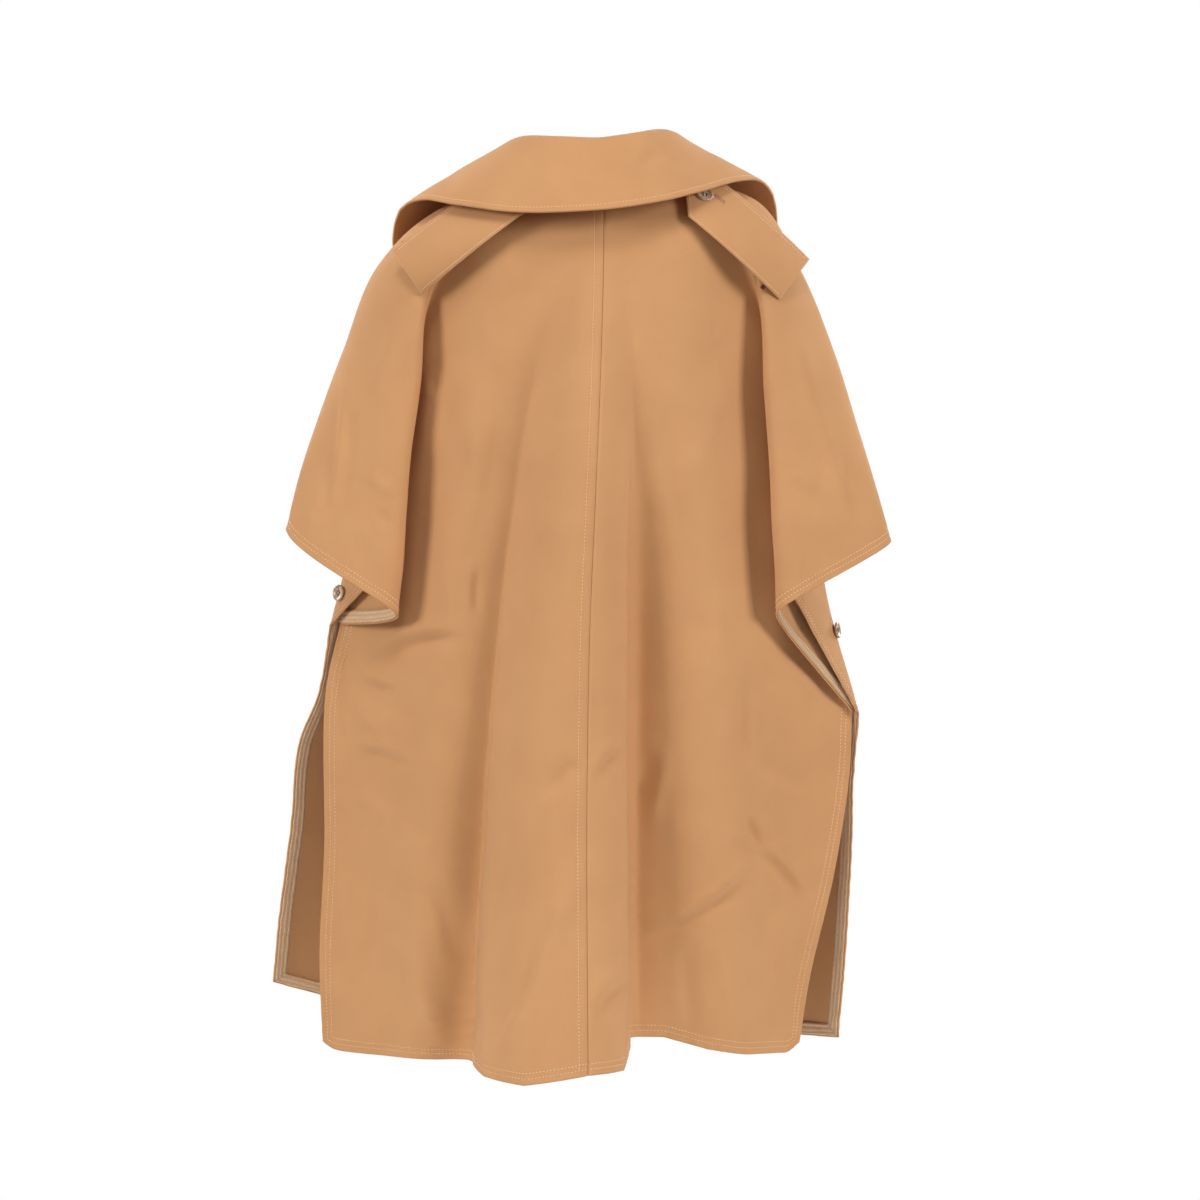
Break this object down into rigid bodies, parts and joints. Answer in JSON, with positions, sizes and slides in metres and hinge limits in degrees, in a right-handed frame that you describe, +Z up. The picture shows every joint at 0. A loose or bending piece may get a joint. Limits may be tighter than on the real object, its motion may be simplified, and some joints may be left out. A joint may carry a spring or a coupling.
{
  "type": "cape trench coat",
  "caption": "Cape-sleeved trench coat in tan gabardine, filled out with no wearer, with a wide turned-down collar, buttoned shoulder straps and open sides.",
  "frame": {"origin": "inside the neck, on the line across the neck at the height where the collar is sewn on, which is where a hanger or form holds the coat", "axes": "+Z up along the hanging coat, -Y towards the back, which the picture shows, +X to the right of a viewer who faces the back"},
  "size_m": [0.589, 0.2848, 0.8766],
  "materials": {
    "gabardine": "matt cotton gabardine with a soft sheen",
    "ribbed_tape": "ribbed cotton tape, slightly glossier than the cloth",
    "horn": "polished horn-like resin"
  },
  "bodies": {
    "root": {"back_left": "gabardine", "back_right": "gabardine", "front_left": "gabardine", "front_right": "gabardine", "collar": "gabardine", "epaulette_left": "gabardine", "epaulette_right": "gabardine", "tape_back_left": "ribbed_tape", "tape_back_right": "ribbed_tape", "tape_front_left": "ribbed_tape", "tape_front_right": "ribbed_tape", "epaulette_button_left": "horn", "epaulette_button_right": "horn", "side_button_left": "horn", "side_button_right": "horn", "front_button_1": "horn", "front_button_2": "horn", "front_button_3": "horn", "front_button_4": "horn"}
  },
  "joints": []
}
